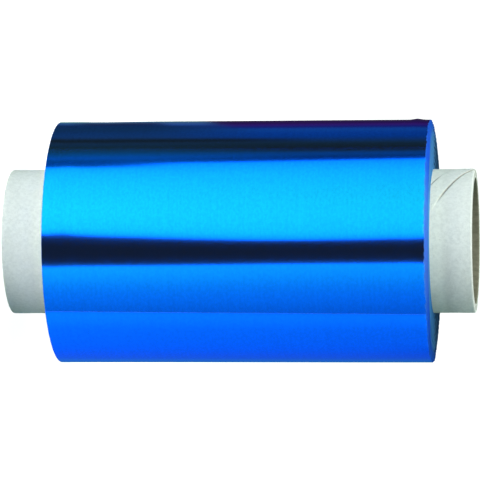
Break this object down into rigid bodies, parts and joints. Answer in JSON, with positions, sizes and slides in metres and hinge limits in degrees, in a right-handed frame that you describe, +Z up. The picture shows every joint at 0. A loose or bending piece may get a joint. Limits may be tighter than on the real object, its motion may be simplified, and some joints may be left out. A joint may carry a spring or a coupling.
{
  "type": "aluminium foil roll",
  "caption": "Roll of blue aluminium foil wound on a spiral board tube that stands proud at both ends, standing on the tube's end.",
  "frame": {"origin": "on the roll's axis, in the plane of the board tube's lower end, which is the end that it stands on", "axes": "+Z up the tube, -Y towards the camera, +X towards the side on which the free edge of the foil lies"},
  "size_m": [0.0777, 0.0775, 0.1497],
  "materials": {
    "board": "matt light grey recycled board, lightly mottled, with a brown kraft inside",
    "blue_foil": "bright blue lacquered foil with fine rolling lines round the roll, steel blue in the cut ends of the turns"
  },
  "bodies": {
    "root": {"core_tube": "board", "foil_roll": "blue_foil"}
  },
  "joints": []
}
